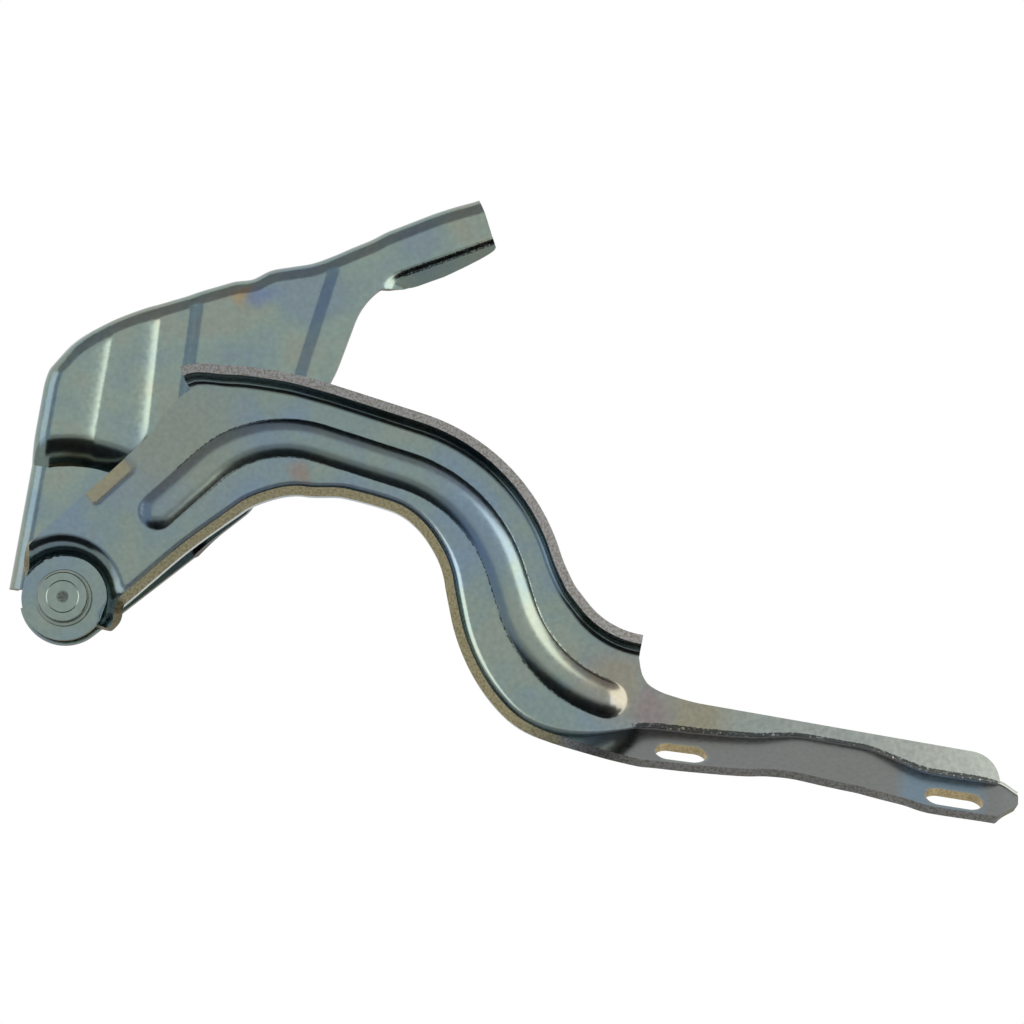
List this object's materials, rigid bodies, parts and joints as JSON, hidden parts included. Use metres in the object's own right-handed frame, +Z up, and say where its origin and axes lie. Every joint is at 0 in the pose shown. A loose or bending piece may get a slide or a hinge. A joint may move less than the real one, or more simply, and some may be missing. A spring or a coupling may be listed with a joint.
{
  "type": "bonnet hinge",
  "caption": "Bonnet hinge: a pressed gooseneck arm with a slotted mounting flange, riveted so that it turns on a formed sheet-steel body bracket.",
  "frame": {"origin": "middle of the body mounting face, on the bracket's top flange midway between its bolt holes", "axes": "+X along the arm from the pivot towards its tip, +Y along the pivot axis from the arm's side to the bracket's, +Z up as pictured"},
  "size_m": [0.3297, 0.0475, 0.2125],
  "materials": {
    "zinc_plated_arm": "zinc plated and passivated",
    "zinc_plated_bracket": "zinc plated and passivated",
    "zinc_plated_rivet": "zinc plated",
    "bearing_bronze": "turned",
    "zinc_plated_washer": "zinc plated"
  },
  "bodies": {
    "bracket": {"body_bracket": "zinc_plated_bracket", "pivot_rivet": "zinc_plated_rivet", "thrust_washer": "bearing_bronze", "rivet_washer": "zinc_plated_washer"},
    "arm": {"bonnet_arm": "zinc_plated_arm", "bearing_bush": "bearing_bronze"}
  },
  "joints": [
    {"name": "pivot", "type": "hinge", "parent": "bracket", "child": "arm", "pos_m": [-0.05267, -0.0115, -0.10434], "axis": [0, 1, 0], "range_deg": [0, 60]}
  ]
}
